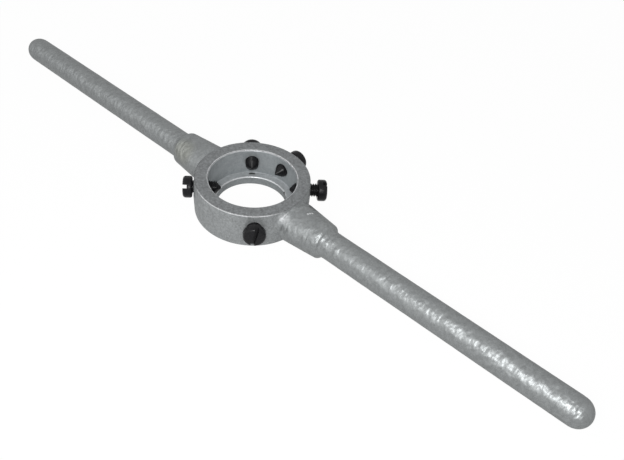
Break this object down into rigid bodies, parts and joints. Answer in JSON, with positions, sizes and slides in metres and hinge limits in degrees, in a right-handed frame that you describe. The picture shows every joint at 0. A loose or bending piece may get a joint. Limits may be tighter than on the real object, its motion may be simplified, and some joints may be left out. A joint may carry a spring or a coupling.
{
  "type": "die stock handle",
  "caption": "Die stock: a stepped ring that holds a round threading die, on round cast arms in line, with slotted screws around the ring.",
  "frame": {"origin": "on the die axis, at mid height of the ring, 0.3 mm above the arms' common axis", "axes": "+Z along the die axis, up out of the die pocket; +X along an arm; +Y towards the spreader screw"},
  "size_m": [0.3286, 0.0566, 0.0168],
  "materials": {
    "cast_metal": "as-cast silver grey, lightly hammered skin, machined faces smoother",
    "screw_steel": "black oxide"
  },
  "bodies": {
    "stock": {"stock_casting": "cast_metal"},
    "closing_screw_right": {"closing_screw_right": "screw_steel"},
    "spreader_screw": {"spreader_screw": "screw_steel"},
    "closing_screw_rear": {"closing_screw_rear": "screw_steel"},
    "lock_screw_left": {"lock_screw_left": "screw_steel"},
    "lock_screw_front": {"lock_screw_front": "screw_steel"}
  },
  "joints": [
    {"name": "closing_screw_right_feed", "type": "slide", "parent": "stock", "child": "closing_screw_right", "axis": [-0.7071, -0.7071, 0], "range_m": [-0.00319, 0.00285]},
    {"name": "spreader_screw_feed", "type": "slide", "parent": "stock", "child": "spreader_screw", "axis": [0, -1, 0], "range_m": [-0.00479, 0.00125]},
    {"name": "closing_screw_rear_feed", "type": "slide", "parent": "stock", "child": "closing_screw_rear", "axis": [0.7071, -0.7071, 0], "range_m": [-0.00549, 0.00055]},
    {"name": "lock_screw_left_feed", "type": "slide", "parent": "stock", "child": "lock_screw_left", "axis": [0.7071, 0.7071, 0], "range_m": [-0.00589, 0.00015]},
    {"name": "lock_screw_front_feed", "type": "slide", "parent": "stock", "child": "lock_screw_front", "axis": [-0.7254, 0.6884, 0], "range_m": [-0.00419, 0.00185]}
  ]
}
